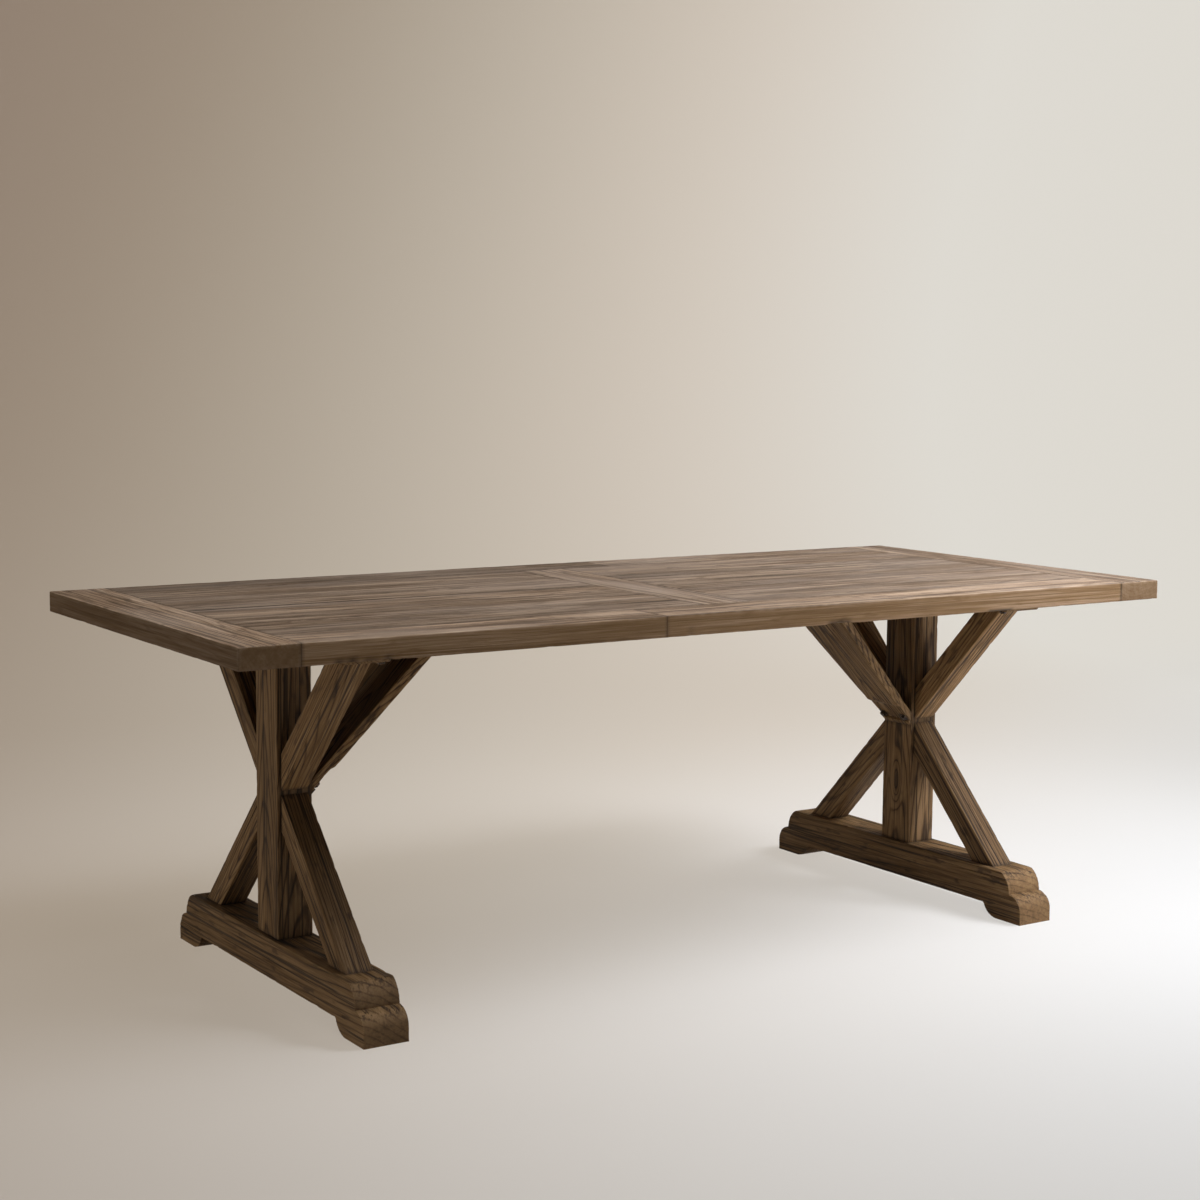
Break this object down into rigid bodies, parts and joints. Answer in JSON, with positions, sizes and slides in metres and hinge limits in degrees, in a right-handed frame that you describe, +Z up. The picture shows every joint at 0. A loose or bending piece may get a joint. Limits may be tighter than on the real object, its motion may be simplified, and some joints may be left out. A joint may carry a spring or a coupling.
{
  "type": "sawbuck table",
  "caption": "Trestle dining table: a framed plank top on sawbuck ends, each with a moulded foot, a post, slanted braces and a knee board that steadies the top.",
  "frame": {"origin": "on the floor, under the middle of the table", "axes": "+X along the table's length, +Y across it to the rear, +Z up"},
  "size_m": [2.235, 0.965, 0.762],
  "materials": {
    "top_wood": "weathered, matt",
    "base_wood": "weathered, matt",
    "spline_wood": "plain",
    "steel": "zinc plated"
  },
  "bodies": {
    "root": {"cross_rail": "top_wood", "front_rail_left": "top_wood", "front_rail_right": "top_wood", "front_rail_spline": "spline_wood", "left_bearer": "base_wood", "left_bearer_screws": "steel", "left_end_rail": "top_wood", "left_foot": "base_wood", "left_knee_bolts": "steel", "left_knee_brace": "base_wood", "left_knee_washers": "steel", "left_lower_brace_front": "base_wood", "left_lower_brace_rear": "base_wood", "left_plank_1": "top_wood", "left_plank_2": "top_wood", "left_plank_3": "top_wood", "left_plank_4": "top_wood", "left_plank_5": "top_wood", "left_post": "base_wood", "left_upper_brace_front": "base_wood", "left_upper_brace_rear": "base_wood", "rear_rail_left": "top_wood", "rear_rail_right": "top_wood", "rear_rail_spline": "spline_wood", "right_bearer": "base_wood", "right_bearer_screws": "steel", "right_end_rail": "top_wood", "right_foot": "base_wood", "right_knee_bolts": "steel", "right_knee_brace": "base_wood", "right_knee_washers": "steel", "right_lower_brace_front": "base_wood", "right_lower_brace_rear": "base_wood", "right_plank_1": "top_wood", "right_plank_2": "top_wood", "right_plank_3": "top_wood", "right_plank_4": "top_wood", "right_plank_5": "top_wood", "right_plank_6": "top_wood", "right_post": "base_wood", "right_upper_brace_front": "base_wood", "right_upper_brace_rear": "base_wood"}
  },
  "joints": []
}
